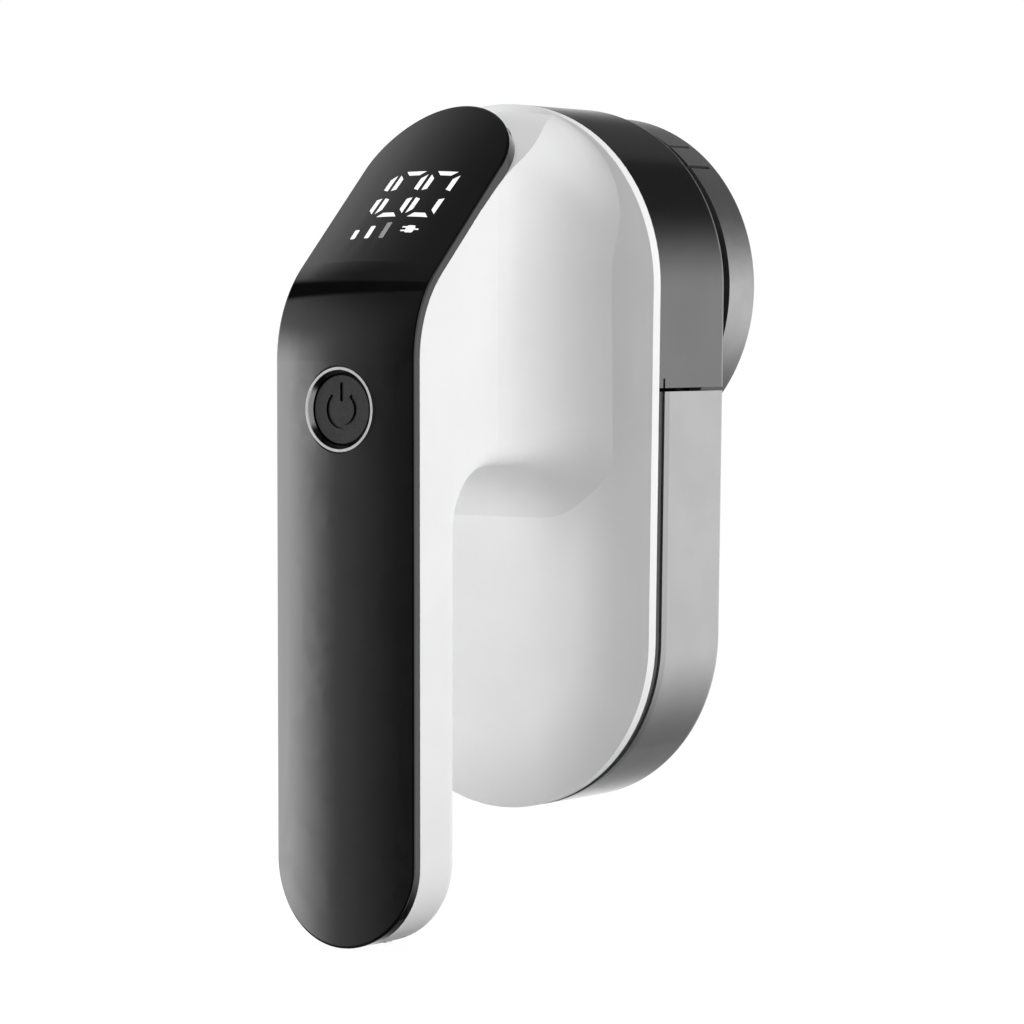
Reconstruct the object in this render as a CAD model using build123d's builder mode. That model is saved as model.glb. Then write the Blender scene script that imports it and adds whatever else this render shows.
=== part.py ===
from build123d import *
from math import asin, cos, radians, sin, sqrt, tan
import os

# Cordless fabric shaver with an upright handle, a sloped display neck and a rear cutting head.
# Frame: +X to the side, +Y from the front panel to the cutting head, +Z up the handle.
# The origin is the middle of the bounding box's underside. All sizes are in millimetres.

# ---------------------------------------------------------------- driving dimensions
# Handle
handle_width = 32.0
handle_depth = 14.0             # from the panel's edge plane to the back of the handle
handle_back_radius = 3.5
shell_wall = 1.6
# Front panel
panel_thickness = 1.8
panel_crown = 1.6
panel_edge_radius = 0.5
bend_radius = 24.0
slope_angle = 45.8              # degrees from the vertical
slope_length = 37.3             # from the bend to the centre of the panel's round upper end
skirt_start = 27.0              # up the slope, where the panel's rim starts to deepen
skirt_tilt = 2.6                # degrees
skirt_wall = 1.5
# Neck and finger gap
neck_drop = 1.9                 # from the top of the head down to the top of the neck
neck_height = 67.1              # from the finger gap to the top of the neck
arch_radius = 12.0
corner_growth = 1.1             # of the flare's lower corners, for each millimetre of spread
flare_lead = 1.0                # how much the flare's radius falls short of the head's rear rim
flare_taper = 65.0              # degrees between the panel's axis and the shell beside its round end
cavity_lip = 1.0                # how far the cavity opens in front of the panel's seat
# Head
overall_height = 157.3
head_radius = 35.0
bin_taper = 1.0                 # how much smaller the lower arc of the head is
bin_bottom = 21.0
split_depth = 52.0              # rear rim of the white shell, behind the panel's edge plane
crown_radius = 30.0
crown_width = 14.0
rim_depth = 2.3                 # straight side wall of the shell's rim
face_wall = 1.8
band_depth = 23.5               # dark rear housing and lint bin
band_edge_radius = 2.0
band_wall = 1.8
seam_drop = 19.5                # from the cutter axis down to the seam above the lint bin
seam_gap = 0.7
bin_gap = 0.3                   # between the chassis plate and the lint bin
# Chassis plate
plate_inset = 2.0
plate_thickness = 2.8
plate_rebate = 1.1              # how far the plate sinks into the white shell
rail_inset = 0.35               # bin rail on the plate, below the seam
rail_gap = 0.25
sleeve_thickness = 1.2
sleeve_overhang = 1.0
# Cutter drum and guard ring
ring_radius = 33.8
ring_depth = 9.5
ring_wall = 2.2
ring_face = 1.8
ring_face_width = 6.6           # from the ring's outer wall to its mouth
ring_edge_radius = 0.8
collar_depth = 2.6              # gap between the rear housing and the guard ring
collar_step = 1.1               # from the spigot out to the drum
spigot_length = 4.8             # how far the spigot reaches inside the guard ring
lug_reach = 1.7                 # radial space between the spigot and the ring's wall
lug_span = 30.0                 # degrees
lug_thickness = 1.5
lug_place = 1.8                 # from the ring's front edge to its lugs
lug_gap = 0.2
lug_clearance = 0.4
lug_root = 0.2                  # how far a lug runs into the wall that carries it
drum_wall = 1.8
drum_clearance = 0.35
bulkhead_depth = 8.0            # from the chassis plate to the bulkhead that carries the motor
bulkhead_thickness = 2.2
chute_width = 26.0
post_radius = 2.4
post_overlap = 0.6              # how far a post runs into the drum's wall
post_floor = 1.0
tab_count = 3
tab_angle = 49.0                # degrees from +X towards +Z
tab_span = 10.7                 # degrees between the two slits beside a tab
slit_width = 0.8
slit_depth = 7.0
# Foil
foil_thickness = 0.35
foil_overlap = 0.8              # how far the foil's rim reaches behind the ring's face
foil_dome = 1.3
foil_hole = 2.5                 # across the flats of a hexagonal hole
foil_pitch = 3.6
foil_rim = 3.2
foil_clamp = 2.2
foil_clamp_gap = 0.15
# Blades, hub and impeller
blade_count = 6
blade_tip_gap = 0.4
blade_thickness = 0.5
blade_gap = 0.25
blade_width = 7.0               # of a leaf before it is trimmed under the foil
blade_rise = 2.6
blade_lean = 50.0               # degrees of each leaf away from the disc
hub_radius = 6.0
hub_taper = 1.0
nut_radius = 2.6
nut_height = 2.0
vane_count = 9
vane_gap = 6.2                  # between the vanes and the drum's wall
vane_height = 6.0
vane_thickness = 1.2
vane_lean = 18.0                # degrees
impeller_disc = 1.4
impeller_collar = 1.2
impeller_gap = 0.4              # behind the motor screws' heads
# Motor
motor_radius = 12.1
motor_length = 28.0
motor_cap = 2.0
motor_edge_radius = 1.0
bush_wall = 0.4                 # of the can around the shaft, beside the bush
motor_cap_inset = 0.6
shaft_radius = 1.0
shaft_stub = 1.0                # how far the shaft stands out of the front bush
running_gap = 0.05
bush_radius = 3.0
bush_length = 2.4
seal_wall = 1.2
terminal_pitch = 14.0
terminal_width = 1.8
terminal_thickness = 0.5
terminal_length = 2.6
motor_screw_pitch = 16.0
# Screws
screw_radius = 1.0
screw_core_radius = 0.8
screw_hole_gap = 0.1
screw_head_radius = 1.9
screw_head_height = 1.2
screw_bite = 3.0
# Power button
button_drop = 19.0              # below the bend
bezel_radius = 8.1
bezel_step = 0.3
bezel_slope = 0.55
cap_radius = 6.6
cap_gap = 0.12
cap_recess = 0.9
cap_edge = 0.35
cap_post_wall = 0.6
bezel_fit = 0.02
flange_width = 0.7
flange_thickness = 0.6
press_travel = 0.4
symbol_radius = 3.2
symbol_stroke = 0.8
symbol_depth = 0.35
symbol_gap = 76.0               # degrees left open at the top of the symbol's arc
symbol_bar = 3.6
# Electronics
switch_size = 6.0
switch_height = 2.6
switch_corner = 0.4
board_corner = 1.0
plunger_radius = 1.7
plunger_stand = 0.7
board_thickness = 1.2
board_width = 24.0
board_length = 44.0
board_depth = 6.6               # behind the panel's edge plane
board_drop = 12.0               # board centre below the button
board_edge = 6.0                # board corner screws, from side to side and from end to end
bracket_height = 5.0
bracket_depth = 4.4
bracket_overhang = 1.6          # past the screws
battery_width = 25.0
battery_depth = 7.6
battery_bottom = 13.5
battery_edge = 1.4
board_gap = 3.7                 # between the battery and the main board
pad_thickness = 0.4
pad_inset = 3.0
socket_width = 9.0
socket_height = 3.3
socket_length = 7.4
socket_wall = 0.3
socket_recess = 0.4
socket_gap = 0.2
tongue_thickness = 0.7
charge_board_width = 12.0
charge_board_length = 9.0
charge_board_bottom = 3.5
lead_radius = 0.5
lead_pitch = 5.0
lead_bend = 1.0
lead_place = 7.0                # from the ends of the main board
lead_slack = 8.0
# Display
digit_height = 12.4
digit_width = 6.4
digit_pitch = 7.2
digit_bottom = 22.2             # up the slope from the bend
digit_shift = -1.75             # of the middle figure
digit_lean = 3.0                # degrees
segment_width = 1.1
segment_gap = 0.9               # from a corner of the figure to the ends of its segments
bar_count = 3
bar_pitch = 3.4
bar_height = 2.5
bar_growth = 0.85
bar_shift = -6.6
icon_bottom = 16.4
plug_shift = 5.6
plug_size = 1.9
diffuser_thickness = 1.2
display_margin = 3.0

# ---------------------------------------------------------------- derived planes and places
half_width = handle_width / 2
overall_depth = panel_crown + split_depth + band_depth + collar_depth + ring_depth
y_front = -overall_depth / 2
y_edge = y_front + panel_crown
y_seat = y_edge + panel_thickness
y_handle_back = y_edge + handle_depth
flare_start = handle_depth + arch_radius
y_flare = y_edge + flare_start
flare_radius = split_depth - flare_start - flare_lead
y_split = y_edge + split_depth
y_plate = y_split - plate_rebate
y_plate_back = y_plate + plate_thickness
y_bulkhead = y_plate_back + bulkhead_depth
y_chamber = y_bulkhead + bulkhead_thickness
y_band_back = y_split + band_depth
y_ring = y_band_back + collar_depth
y_rear = y_ring + ring_depth
cutter_z = overall_height - head_radius
bin_radius = head_radius - bin_taper
bin_centre_z = bin_bottom + bin_radius
seam_height = cutter_z - seam_drop
crown_drop = crown_radius - sqrt(crown_radius**2 - crown_width**2)
y_face = y_split - rim_depth - crown_drop
slope = radians(slope_angle)
end_rise = half_width * cos(slope)
neck_top = overall_height - neck_drop
neck_underside = neck_top - neck_height
bend_height = neck_top - slope_length * cos(slope) - end_rise
button_height = bend_height - button_drop
ring_inner = ring_radius - ring_wall
ring_mouth_radius = ring_radius - ring_face_width
spigot_radius = ring_inner - lug_reach
drum_radius = spigot_radius + collar_step
drum_inner = drum_radius - drum_wall
foil_radius = ring_mouth_radius + foil_overlap
foil_mouth = foil_radius - foil_rim
blade_radius = foil_mouth - blade_tip_gap
vane_radius = drum_inner - vane_gap
pilot_radius = screw_core_radius
clear_radius = screw_radius + screw_hole_gap
sink_radius = screw_head_radius + screw_hole_gap
board_front_y = y_edge + board_depth
y_board_back = board_front_y + board_thickness
board_centre_z = button_height - board_drop
y_inner_back = y_handle_back - shell_wall
y_socket = (y_seat + y_handle_back) / 2

cutter_axis = Axis((0, 0, cutter_z), (0, 1, 0))
turning_plane = Plane(origin=(0, 0, cutter_z), x_dir=(0, 1, 0), z_dir=(1, 0, 0))
slope_plane = Plane(origin=(0, y_edge, bend_height), x_dir=(1, 0, 0), z_dir=(0, -cos(slope), sin(slope)))
seat_plane = slope_plane.offset(-panel_thickness)
skirt_plane = Plane(seat_plane.location * Location((0, skirt_start, 0), (-skirt_tilt, 0, 0)))


def plane_at(y, z=0.0):
    """Upright plane at depth y that faces the cutting head."""
    return Plane(origin=(0, y, z), x_dir=(-1, 0, 0), z_dir=(0, 1, 0))


def head_outline(y, inset=0.0):
    """Outline of the head: a large arc about the cutter axis and a slightly smaller one below."""
    with BuildSketch(plane_at(y)) as outline:
        with Locations((0, cutter_z)):
            Circle(head_radius - inset)
        with Locations((0, bin_centre_z)):
            Circle(bin_radius - inset)
        make_hull()
    return outline.sketch


def panel_corner(depth):
    """Side-view corner between the upright and sloped lines, at a depth below the panel's edge plane."""
    return (y_edge + depth, bend_height - depth * tan(slope / 2))


def panel_end(inset=0.0):
    """Outline of the sloped panel, round above, in the slope plane's coordinates."""
    with BuildSketch() as outline:
        with Locations((0, slope_length)):
            Circle(half_width - inset)
        Rectangle(handle_width - 2 * inset, 2 * slope_length)
    return outline.sketch


def side_profile(front_depth, inset, rear_y):
    """Side view of the handle and neck, from a line below the panel's edge plane to the head."""
    corner = panel_corner(front_depth)
    rise = neck_top - inset - corner[1]
    points = [
        (corner[0], inset),
        corner,
        (corner[0] + rise * tan(slope), neck_top - inset),
        (rear_y, neck_top - inset),
        (rear_y, neck_underside + inset),
        (y_handle_back - inset, neck_underside + inset),
        (y_handle_back - inset, inset),
    ]
    with BuildSketch(Plane.YZ) as profile:
        with BuildLine():
            FilletPolyline(
                *points,
                radius=[0, bend_radius - front_depth, 0, 0, 0, arch_radius + inset, 0],
                close=True,
            )
        make_face()
    return profile.sketch


def front_outline(inset):
    """Front view of the handle and neck: round below, and the panel's round end seen on its slope above."""
    with BuildSketch(plane_at(y_edge)) as outline:
        with Locations((0, half_width)):
            Circle(half_width - inset)
        with Locations((0, neck_top - end_rise)):
            Ellipse(half_width - inset, end_rise - inset)
        with Locations((0, (half_width + neck_top - end_rise) / 2)):
            Rectangle(handle_width - 2 * inset, neck_top - end_rise - half_width)
    return outline.sketch


def neck_section(depth, half, rise, top, bottom, corner):
    """One section of the flare: half an ellipse above, straight sides and rounded lower corners."""
    shoulder = top - rise
    with BuildSketch(plane_at(y_edge + depth)) as section:
        with BuildLine():
            EllipticalCenterArc((0, shoulder), half, rise, start_angle=0, arc_size=180)
            Line((-half, shoulder), (-half, bottom + corner))
            CenterArc((corner - half, bottom + corner), corner, 180, 90)
            Line((corner - half, bottom), (half - corner, bottom))
            CenterArc((half - corner, bottom + corner), corner, 270, 90)
            Line((half, bottom + corner), (half, shoulder))
        make_face()
    return section.sketch


# ---------------------------------------------------------------- white body shell
root_start = y_face - y_flare - arch_radius
root_angle = 78.0               # degrees, where the underside's arc runs on as a straight line


def underside(depth):
    """Height of the flare's underside: level behind the arch, then curving down to the head's face."""
    reach = max(0.0, (depth - root_start) / arch_radius)
    arc_end = sin(radians(root_angle))
    if reach < arc_end:
        return neck_underside - arch_radius * (1 - sqrt(1 - reach**2))
    drop = 1 - cos(radians(root_angle)) + (reach - arc_end) * tan(radians(root_angle))
    return neck_underside - arch_radius * drop


def flare_section(turn):
    """Section where the side wall has turned outwards by this many degrees."""
    depth = flare_radius * sin(radians(turn))
    spread = flare_radius * (1 - cos(radians(turn)))
    growth = spread / (head_radius - half_width)
    return neck_section(
        flare_start + depth,
        half_width + spread,
        end_rise + growth * (head_radius - end_rise),
        neck_top + growth * (overall_height - neck_top),
        underside(depth),
        handle_back_radius + corner_growth * spread,
    )


with BuildPart() as end_cone:
    with BuildSketch(skirt_plane):
        add(panel_end().moved(Location((0, -skirt_start))))
    extrude(amount=-overall_depth, taper=-flare_taper)

with BuildPart() as flare:
    loft([flare_section(turn) for turn in (0, 9, 18, 28, 38, 46, 53, 60, 66, 72)])
    add(end_cone.part, mode=Mode.INTERSECT)

with BuildPart() as head_front:
    extrude(head_outline(y_face, inset=crown_width - crown_radius), amount=2 * crown_radius)
    fillet(head_front.faces().sort_by(Axis.Y)[0].edges(), radius=crown_radius)
    extrude(head_outline(y_split), amount=y_flare - y_split, mode=Mode.INTERSECT)

with BuildPart() as handle_core:
    extrude(side_profile(panel_thickness, 0, y_split), amount=half_width, both=True)
    extrude(front_outline(0), amount=y_split - y_edge, mode=Mode.INTERSECT)
    back_edges = (
        handle_core.edges()
        .filter_by(Axis.X, reverse=True)
        .filter_by_position(Axis.Y, y_handle_back - 0.01, y_split - 0.01)
        .filter_by_position(Axis.Z, -0.01, neck_underside)
    )
    fillet(back_edges, radius=handle_back_radius)
    split(bisect_by=plane_at(y_flare), keep=Keep.BOTTOM)

# Cavities open to the front under the panel and to the rear under the chassis plate.
cavity_back = y_face + face_wall

with BuildPart() as shell_cavity:
    extrude(
        side_profile(panel_thickness - cavity_lip, shell_wall, cavity_back),
        amount=half_width - shell_wall,
        both=True,
    )
    extrude(front_outline(shell_wall), amount=y_split - y_edge, mode=Mode.INTERSECT)

# Brackets on the side walls carry the main board by its four corners.
bracket_pitch = board_length - board_edge
screw_span = board_width - board_edge
bracket_reach = (handle_width - screw_span) / 2 + bracket_overhang

with BuildPart() as body_shell:
    add(flare.part)
    extrude(head_outline(y_split), amount=y_edge - y_split, mode=Mode.INTERSECT)
    add(handle_core.part)
    add(head_front.part)
    for cut_plane in (seat_plane, skirt_plane):
        with BuildSketch(cut_plane):
            Rectangle(3 * handle_width, overall_height)
        extrude(amount=handle_width, mode=Mode.SUBTRACT)
    add(shell_cavity.part, mode=Mode.SUBTRACT)
    extrude(head_outline(cavity_back, inset=crown_width), amount=split_depth, mode=Mode.SUBTRACT)
    extrude(head_outline(y_plate, inset=plate_inset - running_gap), amount=split_depth, mode=Mode.SUBTRACT)
    with BuildSketch(plane_at(y_board_back, board_centre_z)):
        with GridLocations(handle_width - shell_wall - bracket_reach, bracket_pitch, 2, 2):
            Rectangle(bracket_reach - shell_wall, bracket_height)
    extrude(amount=bracket_depth)
    with BuildSketch(plane_at(y_board_back, board_centre_z)):
        with GridLocations(screw_span, bracket_pitch, 2, 2):
            Circle(pilot_radius)
    extrude(amount=screw_bite + screw_hole_gap, mode=Mode.SUBTRACT)
    with BuildSketch(Plane.XY):
        with Locations((0, y_socket)):
            SlotOverall(socket_width + 2 * socket_gap, socket_height + 2 * socket_gap)
    extrude(amount=socket_length, mode=Mode.SUBTRACT)

# ---------------------------------------------------------------- front panel
with BuildPart() as panel_blank:
    with BuildLine(Plane.YZ) as panel_path:
        FilletPolyline(
            (y_edge, 0),
            (y_edge, bend_height),
            (
                y_edge + (slope_length + handle_width) * sin(slope),
                bend_height + (slope_length + handle_width) * cos(slope),
            ),
            radius=bend_radius,
        )
    with BuildSketch(Plane.XY):
        with BuildLine():
            Polyline(
                (-half_width, y_edge),
                (-half_width, y_seat),
                (half_width, y_seat),
                (half_width, y_edge),
            )
            ThreePointArc((half_width, y_edge), (0, y_front), (-half_width, y_edge))
        make_face()
    sweep(path=panel_path.line)

with BuildPart() as panel_outline:
    with BuildSketch(Plane.XZ.offset(-y_edge)):
        with Locations((0, half_width)):
            Circle(half_width)
        with Locations((0, (bend_height + half_width) / 2)):
            Rectangle(handle_width, bend_height - half_width)
    extrude(amount=half_width, both=True)
    with BuildSketch(slope_plane):
        add(panel_end())
    extrude(amount=half_width, both=True)

# The rim deepens towards the panel's round end, down to the shell's tilted cut.
with BuildPart() as panel_skirt:
    with BuildSketch(seat_plane):
        add(panel_end())
        add(panel_end(inset=skirt_wall), mode=Mode.SUBTRACT)
    extrude(amount=-half_width)
    with BuildSketch(skirt_plane):
        Rectangle(3 * handle_width, overall_height)
    extrude(amount=-handle_width, mode=Mode.SUBTRACT)


def segment_corners(name):
    """Mitred corners of one segment of a figure, from the figure's lower left corner."""
    mitre = segment_gap + segment_width
    middle = digit_height / 2 + segment_width / 2 + segment_gap / 2
    top = digit_height
    level = [
        (segment_gap, top),
        (digit_width - segment_gap, top),
        (digit_width - mitre, top - segment_width),
        (mitre, top - segment_width),
    ]
    upright = [
        (digit_width, top - segment_gap),
        (digit_width - segment_width, top - mitre),
        (digit_width - segment_width, middle + segment_width / 3),
        (digit_width, middle),
    ]
    corners = level if name in "ad" else upright
    if name in "ef":
        corners = [(digit_width - x, v) for x, v in corners]
    if name in "cde":
        corners = [(x, digit_height - v) for x, v in corners]
    return corners


def figure(place, names):
    """Lit segments of one leaning figure; a and d are level, b, c, e and f stand up."""
    left = digit_shift + place * digit_pitch - digit_width / 2
    lean = tan(radians(digit_lean))
    for name in names:
        corners = [(left + x + v * lean, digit_bottom + v) for x, v in segment_corners(name)]
        Polygon(*corners, align=None)


with BuildSketch() as display_marks:
    figure(-1, "bc")
    figure(0, "abcdef")
    figure(1, "abcdef")
    for index in range(bar_count):
        bar = bar_height + index * bar_growth
        with Locations((bar_shift + index * bar_pitch, icon_bottom + bar / 2)):
            RectangleRounded(segment_width, bar, segment_width / 4)
    with Locations((plug_shift, icon_bottom + bar_height)):
        RectangleRounded(plug_size, plug_size, plug_size / 4)
        Rectangle(plug_size, segment_width / 3, align=(Align.MIN, Align.CENTER))
        with GridLocations(0, plug_size / 2, 1, 2):
            Rectangle(plug_size, segment_width / 3, align=(Align.MAX, Align.CENTER))

with BuildPart() as display_lights:
    with BuildSketch(slope_plane):
        add(display_marks.sketch)
    extrude(amount=2 * panel_thickness, both=True)

with BuildPart() as front_panel:
    add(panel_blank.part)
    add(panel_outline.part, mode=Mode.INTERSECT)
    front_faces = front_panel.faces().filter_by(lambda face: face.normal_at().Y < -0.3)
    rim_edges = front_faces.edges().filter_by(lambda edge: edge.bounding_box().size.Z > panel_crown)
    fillet(rim_edges, radius=panel_edge_radius)
    add(panel_skirt.part)
    with BuildSketch(plane_at(y_front, button_height)):
        Circle(bezel_radius)
    extrude(amount=panel_thickness + panel_crown, mode=Mode.SUBTRACT)
    add(display_lights.part, mode=Mode.SUBTRACT)

with BuildPart() as display_segments:
    add(panel_blank.part)
    add(display_lights.part, mode=Mode.INTERSECT)

# ---------------------------------------------------------------- display parts behind the panel
display_width = 2 * digit_pitch + segment_width + 2 * display_margin
display_bottom = icon_bottom - display_margin
display_height = digit_bottom + digit_height + display_margin - display_bottom
display_spot = (digit_shift + (digit_width - segment_width) / 2, display_bottom + display_height / 2)

with BuildPart() as display_diffuser:
    with BuildSketch(seat_plane):
        with Locations(display_spot):
            RectangleRounded(display_width, display_height, display_margin / 2)
    extrude(amount=-diffuser_thickness)

with BuildPart() as display_board:
    with BuildSketch(seat_plane.offset(-diffuser_thickness)):
        with Locations(display_spot):
            Rectangle(display_width, display_height)
    extrude(amount=-board_thickness)

# ---------------------------------------------------------------- power button
button_axis = Axis((0, 0, button_height), (0, 1, 0))
button_plane = Plane(origin=(0, 0, button_height), x_dir=(0, 1, 0), z_dir=(1, 0, 0))
bezel_outer = bezel_radius - bezel_fit
bezel_inner = cap_radius + cap_gap
y_cap = y_front + cap_recess
y_flange = y_seat + running_gap
switch_top = board_front_y - switch_height
y_plunger = switch_top - plunger_stand

with BuildPart() as button_bezel:
    with BuildSketch(button_plane):
        with BuildLine():
            Polyline(
                (y_front + bezel_step, bezel_outer),
                (y_seat, bezel_outer),
                (y_seat, bezel_inner),
                (y_cap, bezel_inner),
                (y_front, bezel_inner + bezel_slope),
                (y_front, bezel_outer - bezel_step),
                close=True,
            )
        make_face()
    revolve(axis=button_axis)

with BuildPart() as power_button:
    with BuildSketch(button_plane):
        with BuildLine():
            Polyline(
                (y_cap, 0),
                (y_cap, cap_radius - cap_edge),
                (y_cap + cap_edge, cap_radius),
                (y_flange, cap_radius),
                (y_flange, bezel_inner + flange_width),
                (y_flange + flange_thickness, bezel_inner + flange_width),
                (y_flange + flange_thickness, plunger_radius + cap_post_wall),
                (y_plunger, plunger_radius + cap_post_wall),
                (y_plunger, 0),
                close=True,
            )
        make_face()
    revolve(axis=button_axis)
    with BuildSketch(plane_at(y_cap, button_height)):
        Circle(symbol_radius + symbol_stroke / 2)
        Circle(symbol_radius - symbol_stroke / 2, mode=Mode.SUBTRACT)
        with BuildLine():
            gap_half = cap_radius * tan(radians(symbol_gap / 2))
            Polyline((0, 0), (gap_half, cap_radius), (-gap_half, cap_radius), close=True)
        make_face(mode=Mode.SUBTRACT)
        with Locations((0, symbol_radius)):
            SlotOverall(symbol_bar, symbol_stroke, rotation=90)
    extrude(amount=symbol_depth, mode=Mode.SUBTRACT)

with BuildPart() as switch_plunger:
    with BuildSketch(plane_at(y_plunger, button_height)):
        Circle(plunger_radius)
    extrude(amount=plunger_stand + press_travel)

with BuildPart() as tact_switch:
    with BuildSketch(plane_at(switch_top, button_height)):
        RectangleRounded(switch_size, switch_size, switch_corner)
    extrude(amount=switch_height)
    with BuildSketch(plane_at(switch_top, button_height)):
        Circle(plunger_radius + running_gap)
    extrude(amount=plunger_stand + 2 * press_travel, mode=Mode.SUBTRACT)

# ---------------------------------------------------------------- electronics in the handle
with BuildPart() as main_board:
    with BuildSketch(plane_at(board_front_y, board_centre_z)):
        RectangleRounded(board_width, board_length, board_corner)
        with GridLocations(screw_span, bracket_pitch, 2, 2):
            Circle(clear_radius, mode=Mode.SUBTRACT)
    extrude(amount=board_thickness)

with BuildPart() as board_screws:
    with BuildSketch(plane_at(board_front_y, board_centre_z)):
        with GridLocations(screw_span, bracket_pitch, 2, 2):
            Circle(screw_head_radius)
    extrude(amount=-screw_head_height)
    with BuildSketch(plane_at(board_front_y, board_centre_z)):
        with GridLocations(screw_span, bracket_pitch, 2, 2):
            Circle(pilot_radius)
    extrude(amount=board_thickness + screw_bite)

battery_length = board_centre_z - board_length / 2 - board_gap - battery_bottom
y_battery = y_inner_back - pad_thickness

with BuildPart() as battery_cell:
    with BuildSketch(plane_at(y_battery, battery_bottom + battery_length / 2)):
        Rectangle(battery_width, battery_length)
    extrude(amount=-battery_depth)
    fillet(battery_cell.edges().filter_by(Axis.Z), radius=battery_edge)

with BuildPart() as battery_pad:
    with BuildSketch(plane_at(y_battery, battery_bottom + battery_length / 2)):
        Rectangle(battery_width - 2 * pad_inset, battery_length - 2 * pad_inset)
    extrude(amount=pad_thickness)

tongue_width = socket_width - 2 * socket_height + tongue_thickness

with BuildPart() as charge_socket:
    with BuildSketch(Plane.XY.offset(socket_recess)):
        with Locations((0, y_socket)):
            SlotOverall(socket_width, socket_height)
    extrude(amount=socket_length)
    with BuildSketch(Plane.XY.offset(socket_recess)):
        with Locations((0, y_socket)):
            SlotOverall(socket_width - 2 * socket_wall, socket_height - 2 * socket_wall)
            SlotOverall(tongue_width, tongue_thickness, mode=Mode.SUBTRACT)
    extrude(amount=socket_length - 2 * socket_recess, mode=Mode.SUBTRACT)

with BuildPart() as charge_board:
    with BuildSketch(plane_at(y_socket + socket_height / 2, charge_board_bottom + charge_board_length / 2)):
        Rectangle(charge_board_width, charge_board_length)
    extrude(amount=board_thickness)

# ---------------------------------------------------------------- motor
motor_front = y_bulkhead - motor_length
y_motor_rear = motor_front - motor_cap
bush_hole = shaft_radius + bush_wall

with BuildPart() as motor_can:
    with BuildSketch(turning_plane):
        with BuildLine():
            FilletPolyline(
                (motor_front, bush_hole),
                (motor_front, motor_radius),
                (y_bulkhead, motor_radius),
                (y_bulkhead, bush_radius),
                (y_bulkhead - bush_length, bush_radius),
                (y_bulkhead - bush_length, bush_hole),
                radius=[0, 0, motor_edge_radius, 0, 0, 0],
                close=True,
            )
        make_face()
    revolve(axis=cutter_axis)
    with BuildSketch(plane_at(y_bulkhead, cutter_z)):
        with GridLocations(motor_screw_pitch, 0, 2, 1):
            Circle(pilot_radius)
    extrude(amount=-screw_bite, mode=Mode.SUBTRACT)

with BuildPart() as motor_end_cap:
    with BuildSketch(turning_plane):
        with BuildLine():
            Polyline(
                (motor_front, bush_radius),
                (motor_front, motor_radius - motor_cap_inset),
                (y_motor_rear, motor_radius - 2 * motor_cap_inset),
                (y_motor_rear, bush_radius),
                close=True,
            )
        make_face()
    revolve(axis=cutter_axis)


def bushing(y_start):
    """Sintered bush with a running fit on the motor shaft."""
    with BuildPart() as bush:
        with BuildSketch(plane_at(y_start, cutter_z)):
            Circle(bush_radius)
            Circle(shaft_radius + running_gap, mode=Mode.SUBTRACT)
        extrude(amount=bush_length)
    return bush


rear_bushing = bushing(y_bulkhead - bush_length)
front_bushing = bushing(motor_front - bush_length)

with BuildPart() as motor_terminals:
    with BuildSketch(plane_at(y_motor_rear, cutter_z)):
        with GridLocations(terminal_pitch, 0, 2, 1):
            Rectangle(terminal_width, terminal_thickness)
    extrude(amount=-terminal_length)

# ---------------------------------------------------------------- leads
board_top_lead = board_centre_z + board_length / 2 - lead_place
board_foot_lead = board_centre_z - board_length / 2 + lead_place
battery_top = battery_bottom + battery_length
display_back = panel_thickness + diffuser_thickness + board_thickness
y_display_pad = y_edge + icon_bottom * sin(slope) + display_back * cos(slope)
display_pad_z = bend_height + icon_bottom * cos(slope) - display_back * sin(slope)


def lead_pair(pitch, *points):
    """Two plain leads, side by side, along a path in the side view."""
    with BuildPart() as lead:
        with BuildLine(Plane.YZ) as run:
            FilletPolyline(*points, radius=lead_bend)
        with BuildSketch(Plane(run.line @ 0, z_dir=run.line % 0)):
            Circle(lead_radius)
        sweep(path=run.line)
    with BuildPart() as pair:
        with Locations((-pitch / 2, 0, 0), (pitch / 2, 0, 0)):
            add(lead.part)
    return pair


motor_leads = lead_pair(
    terminal_pitch,
    (y_board_back, board_top_lead),
    (y_motor_rear - terminal_length - lead_slack, board_top_lead),
    (y_motor_rear - terminal_length - lead_slack, cutter_z),
    (y_motor_rear - terminal_length, cutter_z),
)
display_leads = lead_pair(
    lead_pitch / 2,
    (y_board_back, board_top_lead),
    (y_display_pad + lead_slack * cos(slope), board_top_lead),
    (y_display_pad + lead_slack * cos(slope), display_pad_z - lead_slack * sin(slope)),
    (y_display_pad, display_pad_z),
)
battery_leads = lead_pair(
    lead_pitch,
    (y_battery - battery_edge - lead_radius, battery_top),
    (y_battery - battery_edge - lead_radius, board_foot_lead),
    (y_board_back, board_foot_lead),
)

# ---------------------------------------------------------------- chassis plate
post_circle = drum_inner - post_radius + post_overlap
y_screw_head = y_plate + screw_hole_gap
rear_bore = bush_radius + seal_wall


def four_posts(y, radius):
    """Four circles on the circle of the housing's screw posts."""
    with BuildSketch(plane_at(y, cutter_z)) as spots:
        with PolarLocations(post_circle, 4, start_angle=45):
            Circle(radius)
    return spots.sketch


with BuildPart() as bin_rail:
    rail_depth = plate_thickness - plate_rebate - rail_gap
    extrude(head_outline(y_split + rail_gap, inset=rail_inset), amount=rail_depth)
    split(bisect_by=Plane.XY.offset(seam_height - seam_gap), keep=Keep.BOTTOM)

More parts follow.
